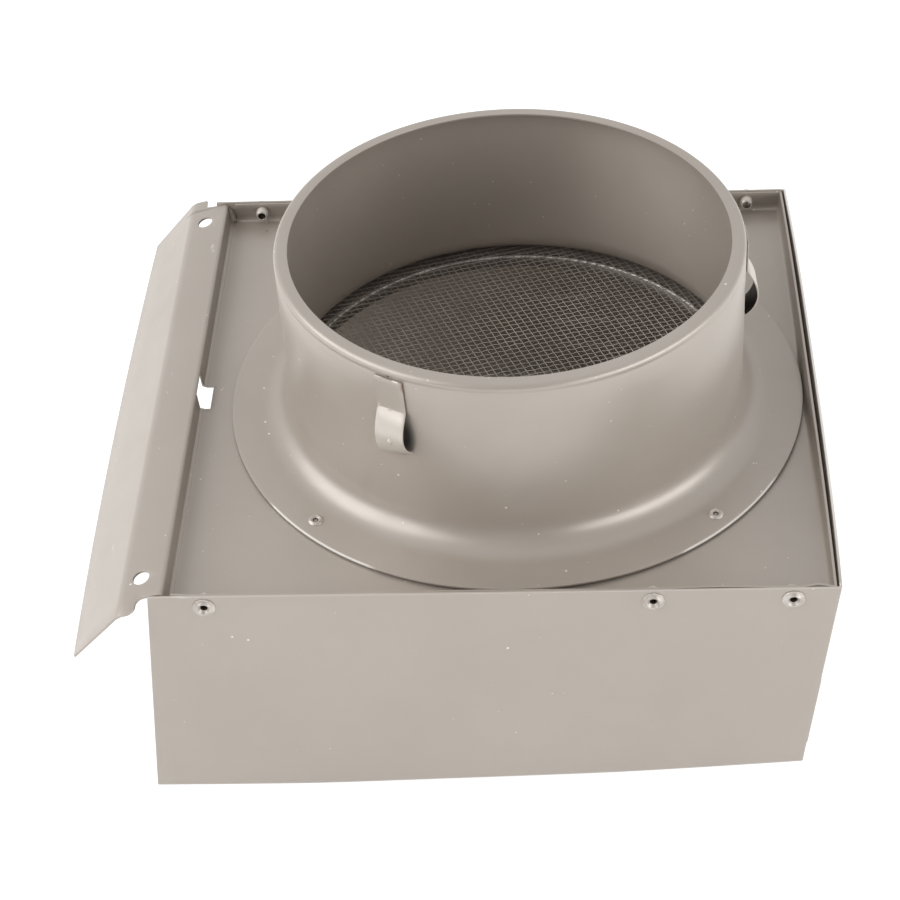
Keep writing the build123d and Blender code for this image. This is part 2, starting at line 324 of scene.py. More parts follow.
def cut(piece, cutter):
    """Takes a cutter's solid out of a piece and deletes the cutter."""
    add_modifier(piece, "BOOLEAN", operation="DIFFERENCE", solver="EXACT", object=cutter)
    bpy.data.objects.remove(cutter)


def soften(piece, width, segments=2, angle=40.0):
    """Rounds a piece's sharp edges as the coat does, and shades what is left smooth."""
    add_modifier(piece, "BEVEL", width=width, segments=segments, limit_method="ANGLE",
                 angle_limit=radians(angle), harden_normals=False)
    bpy.ops.object.select_all(action="DESELECT")
    piece.select_set(True)
    bpy.context.view_layer.objects.active = piece
    bpy.ops.object.shade_smooth_by_angle(angle=radians(35))
    piece.select_set(False)


pan = grid("base_pan_sheet", (flange_start_x, -pan_half), (top_foot_x, pan_half), 44, 44, plate_level)
bpy.ops.object.mode_set(mode="EDIT")
pick_border(pan, lambda p: at(p.x, flange_start_x))
ledge_slant = 0.12 * mm
ledge_run = riser_foot_x - ledge_x + ledge_slant
pull((ledge_x - flange_start_x, 0, 0), (-ledge_slant, 0, ledge_rise), (ledge_run, 0, 0))
flange_rise = flange_rim - plate_level
for side in (-1, 1):
    pick_border(pan, lambda p: p.y * side > pan_half - near and p.x > flange_start_x)
    pull(*[(0, 0, flange_rise / 3)] * 3)
pick_border(pan, lambda p: p.x > top_foot_x - near and at(p.z, plate_level))
pull(*[(0, 0, flange_rise / 3)] * 3)
pick_border(pan, lambda p: at(p.x, riser_foot_x))
notch_run = riser_x - notch_x
fold_run = notch_x - fold_x
riser_step = ((riser_x - riser_foot_x) / 2, 0, (riser_top - plate_level - ledge_rise) / 2)
pull(riser_step, riser_step)
pull((-notch_run, 0, -notch_run * mount_fall), (-fold_run, 0, -fold_run * mount_fall))
pull(*[(-lip_run / 3, 0, -lip_run / 3 * lip_fall)] * 3)
for side in (-1, 1):
    pick_border(pan, lambda p: p.y * side > pan_half - near and p.x < notch_x)
    pull((0, side * (end_half - pan_half), 0))
bpy.ops.mesh.select_all(action="SELECT")
bpy.ops.mesh.remove_doubles(threshold=close)
bpy.ops.object.mode_set(mode="OBJECT")


def bump(value, low, high):
    """One midway between two values, falling smoothly to nought at both."""
    share = (value - low) / (high - low)
    return sin(pi * share) ** 2 if 0 < share < 1 else 0.0


flange_swings = ((-104, -93, 0.5), (-60, 36, 0.3), (36, 82, 0.6), (82, 93, 1.0))
front_shoulder = 0.4
lip_taper = 1.0 * mm


def pan_form(p):
    """The upper flange leans and bows out, the front one waves between pairs of places in millimetres, the
    sloped flange's ends taper, and the lip's free edge bows."""
    rise = (p.z - plate_level) / flange_rise
    if p.x > top_foot_x - near and rise > 0:
        p.x += rise * (top_lean + top_bow * (1 - abs(p.y / pan_half) ** 3))
    elif p.y < near - pan_half and rise > 0:
        p.y += rise * sum(swing * mm * bump(p.x / mm, low, high) for low, high, swing in flange_swings)
    toward_lip = (riser_x - p.x) / (riser_x - notch_x)
    if -0.01 < toward_lip < 1.01 and p.z > riser_top - 2.5 * mm:
        if at(p.y, -pan_half, near):
            p.y += (front_end + pan_half) * (front_shoulder + (1 - front_shoulder) * toward_lip)
        elif at(p.y, pan_half, near):
            p.y += (back_end - pan_half) * toward_lip
    drop = (fold_x - p.x) / lip_run
    if drop > 0:
        bow = lip_bow * drop * (1 - (p.y / end_half) ** 2) + lip_spread * drop
        p.x -= bow
        p.z -= bow * lip_fall
        if abs(p.y) > pan_half + 1 * mm:
            p.y -= lip_taper * drop * (1 if p.y > 0 else -1)
    return p


reshape(pan, pan_form)
faces_up(pan, (0, 0, 1), lambda p: at(p.z, plate_level, near))
bpy.context.view_layer.objects.active = pan
bpy.ops.object.mode_set(mode="EDIT")


def on_plate_fold(p):
    """Whether a place lies on the fold between the plate and an upturned flange."""
    at_side = at(abs(p.y), pan_half, near) and p.x > flange_start_x
    return at(p.z, plate_level) and (at_side or p.x > top_foot_x - near)


def on_notch(p, ends):
    """Whether a place lies on a corner of the notch at one of the sloped flange's ends."""
    at_corner = any(at(p.y, end, 0.03 * mm) for end in ends)
    return at_corner and at(p.x, notch_x, 0.4 * mm) and at(p.z, riser_top, 4 * mm)


pick(pan, on_plate_fold)
bpy.ops.mesh.bevel(offset=fold_inside, segments=4, affect="EDGES")
pick(pan, lambda p: at(p.z, plate_level + ledge_rise) and at(p.x, riser_foot_x))
bpy.ops.mesh.bevel(offset=riser_foot_bend, segments=3, affect="EDGES")
pick(pan, lambda p: at(p.z, riser_top) and p.x < riser_x + close)
bpy.ops.mesh.bevel(offset=riser_bend, segments=5, affect="EDGES")
fold_z = riser_top - (riser_x - fold_x) * mount_fall
pick(pan, lambda p: at(p.x, fold_x) and at(p.z, fold_z, 0.05 * mm))
bpy.ops.mesh.bevel(offset=lip_fold, segments=6, affect="EDGES")
bpy.ops.object.mode_set(mode="OBJECT")
add_modifier(pan, "SOLIDIFY", thickness=sheet, offset=-1, use_even_offset=True)
bpy.ops.object.mode_set(mode="EDIT")
notch_ends = ((front_end, -end_half, front_corner), (back_end, end_half, back_corner))
for inner_end, outer_end, corner_round in notch_ends:
    pick(pan, lambda p: on_notch(p, (inner_end, outer_end)))
    mesh = bmesh.from_edit_mesh(pan.data)
    for edge in mesh.edges:
        if edge.select and abs((edge.verts[0].co - edge.verts[1].co).z) < 0.3 * mm:
            edge.select_set(False)
    bmesh.update_edit_mesh(pan.data)
    bpy.ops.mesh.bevel(offset=corner_round, segments=6, affect="EDGES")
bpy.ops.object.mode_set(mode="OBJECT")


def rod(radius, length, place, direction, sides=48):
    """A cylinder about a place, along a direction."""
    turn = Vector((0, 0, 1)).rotation_difference(Vector(direction)).to_euler()
    bpy.ops.mesh.primitive_cylinder_add(
        vertices=sides, radius=radius, depth=length, location=place, rotation=turn)
    return bpy.context.object


through = 6 * mm
screw_r = 2.6 * mm
screw_stretch = 1.08
screw_x = -109.8 * mm
screw_ys = (-88.1 * mm, 89.2 * mm)
screw_z = riser_top - (riser_x - screw_x) * mount_fall
slope_up = (-sin(mount_angle), 0, cos(mount_angle))
for screw_y in screw_ys:
    hole = rod(screw_r, through, (screw_x, screw_y, screw_z), slope_up)
    hole.scale = (1.0, screw_stretch, 1.0)
    cut(pan, hole)
rivet_hole_r = 1.6 * mm
rivet_xs = (-90.3 * mm, 40.2 * mm, 80.4 * mm)
rivet_rows = ((-hood_high.y, -4.2 * mm), (hood_high.y, -3.3 * mm))
rivet_places = [(x, y, z) for y, z in rivet_rows for x in rivet_xs]
for place in rivet_places:
    cut(pan, rod(rivet_hole_r, through, place, (0, 1, 0), 24))
duct_hole_r = 72.3 * mm
duct_hole_bend_r = 74.3 * mm
duct_hole_sides = 192
cut(pan, rod(duct_hole_bend_r, through, (0, 0, plate_level), (0, 0, 1), duct_hole_sides))
slot_place = (riser_x + 1.0 * mm, 0, plate_level + 2.2 * mm)
slot_size = (5.4 * mm, 11.4 * mm, 8.0 * mm)
bpy.ops.mesh.primitive_cube_add(size=1, location=slot_place)
slot_cutter = bpy.context.object
slot_cutter.scale = slot_size
bpy.ops.object.transform_apply(location=True, rotation=True, scale=True)
cut(pan, slot_cutter)


def spun(name, profile, sides):
    """A ring about Z, pulled up from one circle through each radius and height of its profile."""
    radius, height = profile[0]
    bpy.ops.mesh.primitive_circle_add(vertices=sides, radius=radius, location=(0, 0, height))
    made = bpy.context.object
    made.name = name
    bpy.ops.object.transform_apply(location=True, rotation=True, scale=True)
    bpy.ops.object.mode_set(mode="EDIT")
    bpy.ops.mesh.select_all(action="SELECT")
    for next_radius, next_height in profile[1:] + profile[:1]:
        bpy.ops.mesh.extrude_region_move(TRANSFORM_OT_translate={"value": (0, 0, next_height - height)})
        share = next_radius / radius
        bpy.ops.transform.resize(value=(share, share, 1), center_override=(0, 0, 0))
        radius, height = next_radius, next_height
    bpy.ops.mesh.select_all(action="SELECT")
    bpy.ops.mesh.remove_doubles(threshold=0.002 * mm)
    bpy.ops.mesh.normals_make_consistent(inside=False)
    bpy.ops.object.mode_set(mode="OBJECT")
    return made


def arc(centre, radius, start, end, steps):
    """Points along an arc, as radius and height, from one angle in degrees to another."""
    turns = [radians(start + (end - start) * step / steps) for step in range(steps + 1)]
    return [(centre[0] + radius * cos(turn), centre[1] + radius * sin(turn)) for turn in turns]


lip_bend = 0.35 * mm
lip_middle = (duct_hole_r + sheet + lip_bend, plate_level - sheet - lip_bend)
lip_end = -11.6 * mm
duct_lip = arc(lip_middle, lip_bend + sheet, 90, 180, 6)
duct_lip += [(duct_hole_r, lip_end), (duct_hole_r + sheet, lip_end)]
duct_lip += arc(lip_middle, lip_bend, 180, 90, 6)
turned_lip = spun("turned_lip", duct_lip, duct_hole_sides)


def joined(pieces, name):
    """Several objects made one."""
    bpy.ops.object.select_all(action="DESELECT")
    for piece in pieces:
        piece.select_set(True)
    bpy.context.view_layer.objects.active = pieces[0]
    bpy.ops.object.join()
    pieces[0].name = name
    pieces[0].select_set(False)
    return pieces[0]


gusset_corners = ((-102.2, 96.6, -0.9), (-102.0, 95.7, -6.9), (-100.6, 96.8, -3.4), (-99.9, 96.8, -6.9))
gussets = []
for side in (-1, 1):
    bpy.ops.mesh.primitive_plane_add(size=1)
    gusset = bpy.context.object
    for vertex, (x, y, z) in zip(gusset.data.vertices, gusset_corners):
        vertex.co = Vector((x * mm, side * y * mm, z * mm))
    add_modifier(gusset, "SOLIDIFY", thickness=sheet, offset=0, use_even_offset=True)
    soften(gusset, 0.12 * mm)
    gussets.append(gusset)
soften(pan, sheet_edge)
soften(turned_lip, 0.1 * mm)
pan = joined([pan, turned_lip, *gussets], "base_pan_sheet")
pan_coat = coated("pan_coat")
pan_nick = ((-112.8, -90.0, -2.7, 0.5, 0.5, 0.5),)
pan_smudges = (
    (-122.75, -64.9, -11.75, 0.6, 1.9, 0.6),
    (-105.4, 73.3, -0.9, 0.9, 2.2, 0.9),
    (-104.9, 70.6, -0.9, 0.8, 1.2, 0.8),
)
smudge_colour = (0.62, 0.57, 0.51, 1.0)
# Painted shade darkens the riser's face.
riser_face = ((-102.1, 0.0, -3.9, 0.9, 900.0, 3.6),)
riser_painted_shade = (0.30, 0.265, 0.23, 1.0)
# Painted shade darkens the inner faces of the upper and back flanges.
flange_faces = ((92.3, 0.0, -3.5, 1.2, 900.0, 3.2), (0.0, 96.9, -3.5, 900.0, 0.9, 3.0))
flange_painted_shade = (0.31, 0.275, 0.24, 1.0)
# Painted shade on the plate under the spigot's flared root.
under_flare = ((0, 0, -7.4, 79.0, 79.0, 30.0),)
flare_painted_shade = (0.24, 0.21, 0.18, 1.0)
# Painted shade on the face of the lip turned down in the duct hole.
lip_face = ((0, 0, -10.6, 72.7, 72.7, 16.0),)
lip_painted_shade = (0.16, 0.14, 0.12, 1.0)
# A painted highlight in the pale colour along the bend at the duct hole's edge.
hole_edge_highlight = ((0, 0, -7.4, 73.1, 73.1, 4.0),)
rust_spot = ((-88.6, 90.7, -7.4, 0.6, 0.6, 0.6),)
spotted(pan_coat, pan_nick, 0.2, pale)
spotted(pan_coat, pan_smudges, 0.0, smudge_colour)
spotted(pan_coat, riser_face, 0.7, riser_painted_shade)
spotted(pan_coat, flange_faces, 0.6, flange_painted_shade)
spotted(pan_coat, under_flare, 0.97, flare_painted_shade)
spotted(pan_coat, lip_face, 0.995, lip_painted_shade)
spotted(pan_coat, hole_edge_highlight, 0.996, pale)
spotted(pan_coat, rust_spot, 0.1, rusty)
pan.data.materials.append(pan_coat)
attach(pan, "cap")
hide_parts("base_pan")

# Spigot: the collar that the duct slides over, spun from sheet with a flange, a wide root and a rim turned
# in, coated, and riveted down over the screen. Its flange's edge droops at the outlet and stands off the
# plate at the front and at the top, with painted highlights on it in places.
spigot_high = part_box("spigot")[1]
spigot_r = 72.0 * mm
spigot_top = spigot_high.z
flange_r = spigot_high.x
flange_top = -6.0 * mm
root_r = 9.3 * mm
rim_r = 1.8 * mm
rim_in = 4.4 * mm
wall_head = 50.7 * mm
neck = ((0.1 * mm, 51.2 * mm), (0.2 * mm, 51.8 * mm), (0.14 * mm, 52.3 * mm))
root_middle = (spigot_r + root_r, flange_top + root_r)
rim_middle = (spigot_r - rim_r, spigot_top - rim_r)
flange_span = [(flange_r - (flange_r - spigot_r - root_r) * step / 8, flange_top) for step in range(8)]
wall_foot = flange_top + root_r
wall_span = [(spigot_r, wall_foot + (wall_head - wall_foot) * step / 7) for step in range(1, 8)]
wall_span += [(spigot_r - depth, height) for depth, height in neck]
outside = flange_span + arc(root_middle, root_r, 270, 180, 16) + wall_span
outside += arc(rim_middle, rim_r, 0, 90, 8) + [(spigot_r - rim_in, spigot_top)]
inside = [(spigot_r - rim_in, spigot_top - sheet)] + arc(rim_middle, rim_r - sheet, 90, 0, 6)
inside += [(radius - sheet, height) for radius, height in reversed(wall_span)]
inside += arc(root_middle, root_r + sheet, 180, 270, 12)
inside += [(radius, flange_top - sheet) for radius, height in reversed(flange_span)]
spigot = spun("spigot_shell", outside + inside, 288)
form_foot = 4 * mm
rim_lean = 0.5 * mm
rim_oval = 0.011
lift_from = 85 * mm
edge_lifts = ((-3, 28, 0.5 * mm), (-86, 26, 0.5 * mm), (190, 80, -0.2 * mm))


def collar_form(p):
    """The collar is a little oval towards its rim and leans over to the outlet."""
    share = max(0.0, (p.z - form_foot) / (spigot_top - form_foot))
    p.x -= rim_lean * share
    p.y *= 1 - rim_oval * share
    return p


def flange_form(p):
    """The flange's edge lifts or droops about some azimuths in degrees, so wide to either side."""
    edge = max(0.0, (hypot(p.x, p.y) - lift_from) / (flange_r - lift_from))
    angle = degrees(atan2(p.y, p.x))
    if edge > 0 and p.z < flange_top + 0.5 * mm:
        for middle, width, lift in edge_lifts:
            away = (angle - middle + 180) % 360 - 180
            p.z += lift * bump(away, -width, width) * edge ** 1.6
    return collar_form(p)


reshape(spigot, flange_form)
soften(spigot, sheet_edge)
spigot_coat = coated("spigot_coat")
spigot_tree = spigot_coat.node_tree
spigot_specks = (
    (-27.7, -65.4, 54.6), (63.6, -26.2, 54.6), (-33.9, -63.5, 14.8),
    (-2.1, -72.0, 8.7), (-63.6, -33.8, 35.4), (-78.2, -20.1, -6.0),
    (15.2, -83.8, -6.0), (-79.9, -14.3, -6.0), (31.1, -61.8, -2.0),
)
speck_half = 0.5
spotted(spigot_coat, [(*speck, speck_half, speck_half, speck_half) for speck in spigot_specks], 0.3, pale)
clip_shade = (0.10, 0.09, 0.08, 1.0)
weld_soot = ((-34.7, -62.7, 52.0, 0.6, 0.6, 0.4),)
clip_shade_r = 72
clip_shades = [
    (cos(radians(turn)) * clip_shade_r, sin(radians(turn)) * clip_shade_r, 31.0, 5.4, 5.4, 8.0)
    for turn in (3.0, 243.5)
]
wall_inside = spots_mask(spigot_tree, ((0, 0, 0, 71.7, 71.7, 4000.0),), 0.998)
behind_clips = less(spigot_tree, spots_mask(spigot_tree, clip_shades, 0.5), wall_inside)
marked(spigot_coat, behind_clips, clip_shade)
spotted(spigot_coat, weld_soot, 0.5, soot_and_shade_black)
# Painted highlights along the flange's edge at the front right and the front left.
flange_edge_highlights = ((67.0, -62.5, -6.4, 25.0, 25.0, 1.2), (-60.0, -69.0, -6.4, 24.0, 24.0, 1.2))
flange_plain = spots_mask(spigot_tree, ((0, 0, -6.4, 91.1, 91.1, 40.0),), 0.997)
painted_edge_highlight = less(spigot_tree, spots_mask(spigot_tree, flange_edge_highlights, 0.85), flange_plain)
marked(spigot_coat, painted_edge_highlight, pale)
spigot.data.materials.append(spigot_coat)
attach(spigot, "cap")
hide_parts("spigot")

# Screen: a disc of woven wire cloth, clamped under the spigot's flange and coated with the rest. The wires
# one way lie nearly straight, those across them wave over and under, and the cloth has been pulled askew.
wire_r = 0.165 * mm
screen_low, screen_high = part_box("screen")
screen_r = screen_high.x - 0.3 * mm
screen_level = (screen_low.z + screen_high.z) / 2
straight_pitch = 2.375 * mm
waved_pitch = 2.06 * mm
straight_turn = -65.8
waved_turn = 16.6
straight_wave = 0.10 * mm
waved_wave = 0.13 * mm
wire_drift = 0.12 * mm
drifts_per_metre = 40


def wires(turn, pitch, crossing_turn, crossing_pitch, wave, rings, seed):
    """Wires one way, each pulled out ring by ring, waving where the other wires cross it."""
    along = Vector((cos(radians(turn)), sin(radians(turn)), 0))
    across = Vector((-along.y, along.x, 0))
    crossing_across = Vector((-sin(radians(crossing_turn)), cos(radians(crossing_turn)), 0))
    step = crossing_pitch / abs(along.dot(crossing_across)) / rings
    made = []
    count = int(screen_r / pitch)
    for number in range(-count, count + 1):
        offset = number * pitch
        reach = sqrt(screen_r ** 2 - offset ** 2)
        cells = max(1, int(2 * reach / step))
        bpy.ops.mesh.primitive_circle_add(vertices=5, radius=wire_r, rotation=(0, pi / 2, 0))
        wire = bpy.context.object
        bpy.ops.object.transform_apply(location=True, rotation=True, scale=True)
        bpy.ops.object.mode_set(mode="EDIT")
        bpy.ops.mesh.select_all(action="SELECT")
        pull(*[(step, 0, 0)] * cells)
        bpy.ops.object.mode_set(mode="OBJECT")
        for vertex in wire.data.vertices:
            length_on = vertex.co.x - cells * step / 2
            middle = along * length_on + across * offset
            drift = wire_drift * noise.noise(middle * drifts_per_metre + Vector((seed, 0, 0)))
            turns = middle.dot(crossing_across) / crossing_pitch + number
            height = screen_level + vertex.co.z + wave * cos(pi * turns)
            vertex.co = middle + across * (vertex.co.y + drift) + Vector((0, 0, height))
        made.append(wire)
    return made


straight_wires = wires(straight_turn, straight_pitch, waved_turn, waved_pitch,
                       straight_wave, rings=1, seed=0)
waved_wires = wires(waved_turn, waved_pitch, straight_turn, straight_pitch,
                    -waved_wave, rings=3, seed=5)
cloth = joined(straight_wires + waved_wires, "screen_weave")
bpy.context.view_layer.objects.active = cloth
bpy.ops.object.mode_set(mode="EDIT")
bpy.ops.mesh.select_all(action="SELECT")
bpy.ops.mesh.normals_make_consistent(inside=False)
bpy.ops.object.mode_set(mode="OBJECT")
cloth.data.polygons.foreach_set("use_smooth", [True] * len(cloth.data.polygons))
wire_dull = (0.46, 0.42, 0.385, 1.0)
wire_bright = (0.60, 0.55, 0.51, 1.0)
wire_metal = patchy("screen_wire_metal", wire_dull, wire_bright,
                    per_metre=70, low=0.35, high=0.65, roughness=0.38, metallic=0.5)
wire_tree = wire_metal.node_tree
wire_grain = bumped(wire_tree, noise_at(wire_tree, 2200), 0.03 * mm, 0.5)
wire_tree.links.new(wire_grain, wire_tree.nodes["Principled BSDF"].inputs["Normal"])
cloth.data.materials.append(wire_metal)
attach(cloth, "cap")
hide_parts("screen")

# Hood: the outer box, folded from one sheet, open at the wall side and at the outlet. Its face panel bows
# gently, and its upper wall's rim has sprung away from the pan's flange. Painted highlights run along the
# rims.
wall_half = hood_high.y
hood_top_x = 94.07 * mm
hood_outlet_x = -106.4 * mm
hood_lean = tan(radians(5.4))
panel_low_z = hood_low.z
fold_round = 1.9 * mm
rim_spring = 1.3 * mm
panel_bends = ((-60 * mm, 0.040), (30 * mm, 0.0413))
bend_width = 12 * mm
wall_wave = 0.12 * mm
panel_wave = 0.15 * mm


def soft_step(distance, width):
    """A slope that starts at nought, with its corner rounded over a width."""
    return (distance + sqrt(distance ** 2 + width ** 2)) / 2


def panel_z(x):
    """Height of the face panel's outside, which bows in towards the upper wall."""
    return panel_low_z + sum(slope * soft_step(x - start, bend_width) for start, slope in panel_bends)


panel_rise = 8.2 * mm
panel_left = hood_outlet_x + panel_low_z * hood_lean
panel_right = hood_top_x + (panel_low_z + panel_rise) * hood_lean
hood = grid("hood_shell", (panel_left, -wall_half), (panel_right, wall_half), 48, 40, 0)
bpy.ops.object.mode_set(mode="EDIT")
wall_rows = 8
row_step = 10 * mm
for side in (-1, 1):
    pick_border(hood, lambda p: p.y * side > wall_half - near)
    pull(*[(0, 0, row_step)] * wall_rows)
pick_border(hood, lambda p: p.x > panel_right - near and p.z < 1 * mm)
pull(*[(0, 0, row_step)] * wall_rows)
bpy.ops.mesh.select_all(action="SELECT")
bpy.ops.mesh.remove_doubles(threshold=close)
bpy.ops.object.mode_set(mode="OBJECT")


def hood_form(p):
    """Gives the panel its bow, the walls their lean, the rim its spring and the faces a slight wave."""
    share = p.z / (row_step * wall_rows)
    bottom = panel_z(p.x)
    height = bottom * (1 - share)
    along = (p.x - panel_left) / (panel_right - panel_left)
    left = hood_outlet_x + height * hood_lean
    right = hood_top_x + height * hood_lean
    place = Vector((left + along * (right - left), p.y, height))
    if along > 0.999:
        place.x += rim_spring * share ** 2 * (1 - abs(p.y / wall_half) ** 3)
    if at(abs(p.y), wall_half) and 0.05 < share < 0.95:
        place.y += wall_wave * noise.noise(Vector((place.x, p.y, place.z)) * 22)
    if share < 0.01:
        place.z += panel_wave * noise.noise(place * 18)
    return place


reshape(hood, hood_form)
faces_up(hood, (0, 0, -1), lambda p: p.z < -70 * mm and abs(p.y) < 80 * mm and abs(p.x) < 80 * mm)
bpy.context.view_layer.objects.active = hood
bpy.ops.object.mode_set(mode="EDIT")


def on_bottom_fold(p):
    """Whether a place lies on a fold between the face panel and a wall."""
    at_level = at(p.z, panel_z(p.x), 0.4 * mm)
    at_side = at(abs(p.y), wall_half)
    return at_level and (at_side or p.x > hood_top_x + p.z * hood_lean - 0.3 * mm)


def on_upright_fold(p):
    """Whether a place lies on an upright corner of the upper wall, clear of the panel's fold."""
    at_corner = at(abs(p.y), wall_half) and p.x > hood_top_x + p.z * hood_lean - close
    return at_corner and p.z > panel_z(p.x) + 2.2 * mm


upright_round = 0.6 * mm
pick(hood, on_bottom_fold)
bpy.ops.mesh.bevel(offset=fold_round, segments=5, affect="EDGES")
pick(hood, on_upright_fold)
bpy.ops.mesh.bevel(offset=upright_round, segments=3, affect="EDGES")
bpy.ops.object.mode_set(mode="OBJECT")
add_modifier(hood, "SOLIDIFY", thickness=sheet, offset=-1, use_even_offset=True)
for place in rivet_places:
    cut(hood, rod(rivet_hole_r, through, place, (0, 1, 0), 24))
soften(hood, sheet_edge)
hood_coat = coated("hood_coat")
hood_specks = ((-83.4, -98.5, -16.7), (-78.8, -98.5, -18.1), (-2.3, -98.5, -23.0), (85.7, -98.5, 0.0))
hood_spots = [(*speck, speck_half, speck_half, speck_half) for speck in hood_specks]
hood_spots += [(93.3, -97.0, 0.0, 0.8, 1.2, 0.6), (-97.5, -98.2, 0.0, 3.0, 0.5, 0.3)]
hood_spots += [(-96.0, -98.5, 0.0, 3.0, 0.3, 0.3)]
# Painted highlights along the upper and front rims.
upper_rim_highlight = ((94.6, 20.0, 0.0, 3.5, 130.0, 0.5),)
front_rim_highlight = ((0.0, -98.3, 0.0, 260.0, 0.5, 0.25),)
streaks = (
    (22.7, 97.2, -45.4, 26.0, 1.0, 1.7),
    (27.2, 97.2, -56.2, 27.0, 1.0, 1.8),
    (27.2, 97.2, -68.0, 22.0, 1.0, 1.8),
)
spotted(hood_coat, hood_spots, 0.3, pale)
spotted(hood_coat, upper_rim_highlight, 0.6, pale)
spotted(hood_coat, front_rim_highlight, 0.4, (0.58, 0.53, 0.48, 1.0))
spotted(hood_coat, streaks, 0.2, (0.75, 0.70, 0.65, 1.0))
hood.data.materials.append(hood_coat)
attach(hood, "cap")
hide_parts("hood")

# Leaf springs: three clips of spring steel strip, welded by a pad under the spigot's rim and coated. Each
# bows out to grip the duct and touches the wall again with its free tip. The bows carry painted light, and
# their inner sides a near-black painted shade. The third sits askew, with a nub on its bow and a stain
# beside its weld.
strip = 0.5 * mm
strip_half = 4.7 * mm
pad_top = 51.5 * mm
pad_foot = 40.4 * mm
crest = 3.6 * mm
tip_z = 24.0 * mm
seat = spigot_r + 0.15 * mm
pad_rows = 6
bow_rows = 22
leaf_path = [(seat, pad_top + (pad_foot - pad_top) * row / pad_rows) for row in range(pad_rows)]
for row in range(bow_rows + 1):
    part_way = row / bow_rows
    swell = sin(pi * part_way ** 1.2) ** 0.7 if part_way < 1 else 0.0
    leaf_path.append((seat + crest * swell, pad_foot + (tip_z - pad_foot) * part_way))
skew_middle = 0.55
sway_middle = 0.2
spring_coat = coated("spring_coat")
# Painted light makes the clips' bows lighter than the rest of the coat.
clip_bows_painted_light = ((0, 0, 30.0, 400, 400, 10.8),)
clip_stain = ((-30.4, -65.6, 50.2, 1.1, 1.1, 2.4),)
clip_specks = (
    (-34.7, -62.9, 51.8, 0.6, 0.6, 0.4),
    (-29.9, -65.8, 45.9, 0.5, 0.5, 0.4),
    (-29.6, -66.0, 44.2, 0.5, 0.5, 0.4),
)
clip_weld = ((-37.5, -61.6, 51.8, 2.0, 1.4, 0.5), (-32.4, -64.3, 51.6, 1.5, 1.2, 0.5))
spotted(spring_coat, clip_bows_painted_light, 0.85, (0.60, 0.55, 0.49, 1.0))
spotted(spring_coat, clip_stain, 0.1, rusty)
spotted(spring_coat, clip_specks, 0.4, soot_and_shade_black)
spotted(spring_coat, clip_weld, 0.5, pale)
# Near-black painted shade, in small patches, for the inner side of each bow.
bow_shade_dark = (0.035, 0.03, 0.028, 1.0)
bow_shade_light = (0.07, 0.06, 0.055, 1.0)
bow_inside_shade = patchy("bow_inside_painted_shade", bow_shade_dark, bow_shade_light,
                      per_metre=500, low=0.35, high=0.65, roughness=0.5, metallic=0.6)


def leaf(number, azimuth, sway, skew):
    """One clip, pulled down from its pad's top edge and turned to its place round the spigot.
    Its tip may sway aside and its free end run askew."""
    bpy.ops.mesh.primitive_grid_add(x_subdivisions=1, y_subdivisions=6, size=1)
    made = bpy.context.object
    made.name = f"clip_{number}"
    first, second = leaf_path[:2]
    made.scale = (first[1] - second[1], 2 * strip_half, 1)
    made.rotation_euler = (0, pi / 2, 0)
    made.location = (first[0], 0, (first[1] + second[1]) / 2)
    bpy.ops.object.transform_apply(location=True, rotation=True, scale=True)
    bpy.ops.object.mode_set(mode="EDIT")
    pick_border(made, lambda p: at(p.z, second[1]))
    for start, end in zip(leaf_path[1:], leaf_path[2:]):
        pull((end[0] - start[0], 0, end[1] - start[1]))
    bpy.ops.object.mode_set(mode="OBJECT")
    faces_up(made, (1, 0, 0), lambda p: p.z > pad_foot)
    for vertex in made.data.vertices:
        down = (pad_top - vertex.co.z) / (pad_top - tip_z)
        bent = max(0.0, (pad_foot - vertex.co.z) / (pad_foot - tip_z))
        vertex.co.z += bent * skew * (skew_middle + vertex.co.y / strip_half)
        vertex.co.y += sway * (down - sway_middle)
    add_modifier(made, "SOLIDIFY", thickness=strip, offset=1, use_even_offset=True)
    made.data.materials.append(spring_coat)
    made.data.materials.append(bow_inside_shade)
    # The bows' inner faces take the painted shade.
    for face in made.data.polygons:
        face.material_index = 1 if face.normal.x < -0.2 and face.center.z < pad_foot else 0
    made.data.transform(Matrix.Rotation(radians(azimuth), 4, "Z"))
    reshape(made, collar_form)
    soften(made, 0.1 * mm)
    return made


nub_r = 0.8 * mm
nub_place = (-35.1 * mm, -67.2 * mm, 31.4 * mm)
leaf_places = ((1, 2.0, 0.0, 0.0), (2, 122.0, 0.0, 0.0), (3, 242.0, 1.5 * mm, 1.45 * mm))
for number, azimuth, sway, skew in leaf_places:
    clip = leaf(number, azimuth, sway, skew)
    if number == 3:
        bpy.ops.mesh.primitive_uv_sphere_add(segments=20, ring_count=10, radius=nub_r, location=nub_place)
        nub = bpy.context.object
        nub.scale = (1.0, 1.0, 1.3)
        bpy.ops.object.transform_apply(location=True, rotation=True, scale=True)
        bpy.ops.object.shade_smooth()
        nub.data.materials.append(spring_coat)
        clip = joined([clip, nub], clip.name)
    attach(clip, "cap")
    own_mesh(clip)
    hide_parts(f"leaf_spring_{number}")

